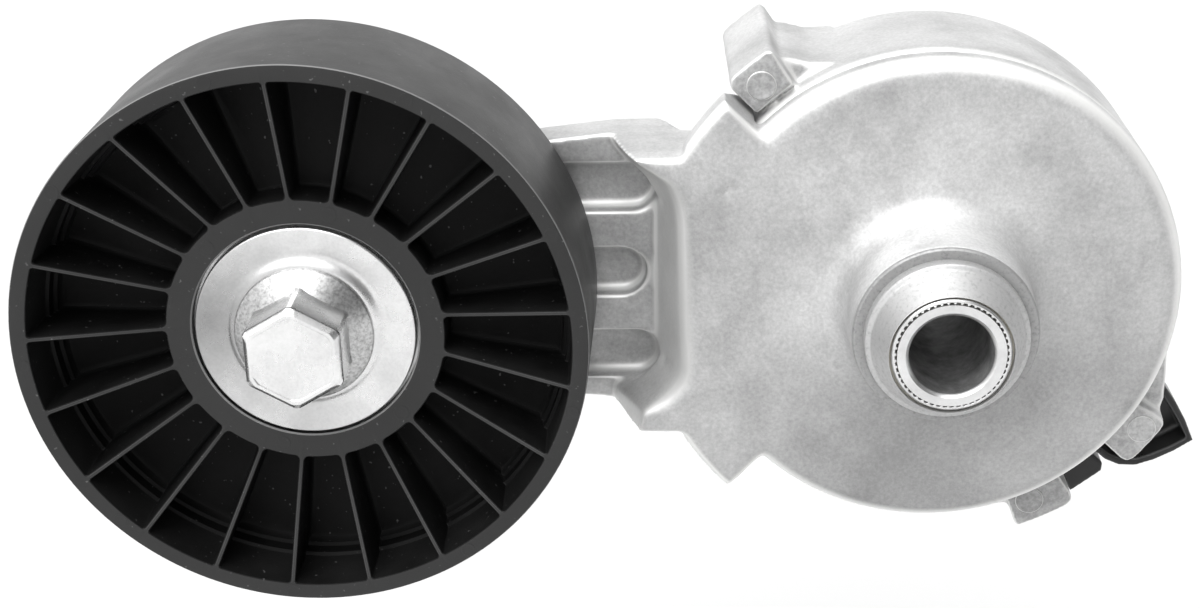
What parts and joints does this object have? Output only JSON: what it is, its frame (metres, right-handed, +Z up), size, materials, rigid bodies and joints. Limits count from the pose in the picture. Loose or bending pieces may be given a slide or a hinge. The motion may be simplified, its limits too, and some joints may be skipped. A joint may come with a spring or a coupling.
{
  "type": "belt tensioner idler",
  "caption": "Spring-loaded automatic belt tensioner: a cast arm turning on a round fixed housing carries a smooth ribbed idler pulley.",
  "frame": {"origin": "centre of the pivot bore at the rear mounting face", "axes": "pivot and pulley axes along Y with the front of the tensioner towards -Y, +Z up, pulley towards -X"},
  "size_m": [0.196, 0.0657, 0.095],
  "materials": {
    "cast_aluminium": "as-cast, tumbled, lightly matt",
    "black_nylon": "moulded glass-filled nylon, satin",
    "zinc_steel": "bright zinc plated",
    "bearing_steel": "ground steel",
    "tube_steel": "machined steel",
    "black_coat": "black electrocoat, semi-gloss",
    "spring_steel": "oiled dark spring wire",
    "bearing_nylon": "natural filled nylon",
    "seal_rubber": "moulded rubber"
  },
  "bodies": {
    "base": {"base_housing": "cast_aluminium", "back_plate": "black_coat", "plate_rivets": "zinc_steel", "locating_pin": "bearing_steel", "pivot_tube": "tube_steel", "tube_retaining_ring": "tube_steel", "rear_thrust_washer": "bearing_nylon", "rear_spring_seat": "bearing_nylon", "torsion_spring": "spring_steel"},
    "arm": {"tensioner_arm": "cast_aluminium", "front_pivot_bushing": "bearing_nylon", "rear_pivot_bushing": "bearing_nylon", "front_spring_seat": "bearing_nylon", "damper_shoe": "bearing_nylon", "damper_band": "spring_steel", "pulley_bolt": "zinc_steel", "dust_shield": "zinc_steel", "rear_shield": "zinc_steel", "bearing_sleeve": "bearing_steel", "bearing_inner_ring": "bearing_steel"},
    "pulley": {"pulley": "black_nylon", "bearing_outer_ring": "bearing_steel", "front_bearing_seal": "seal_rubber", "rear_bearing_seal": "seal_rubber"},
    "cage": {"bearing_cage": "bearing_nylon", "bearing_balls": "bearing_steel"}
  },
  "joints": [
    {"name": "arm_pivot", "type": "hinge", "parent": "base", "child": "arm", "pos_m": [0, 0, 0], "axis": [0, -1, 0], "range_deg": [0, 45], "stiffness_Nm_per_rad": 25, "springref_deg": -34.38},
    {"name": "pulley_spin", "type": "hinge", "parent": "arm", "child": "pulley", "pos_m": [-0.1, 0, 0], "axis": [0, -1, 0], "continuous": true},
    {"name": "cage_spin", "type": "hinge", "parent": "arm", "child": "cage", "pos_m": [-0.1, 0, 0], "axis": [0, -1, 0], "continuous": true}
  ],
  "couplings": [
    {"joint": "cage_spin", "follows": "pulley_spin", "ratio": 0.6189}
  ]
}
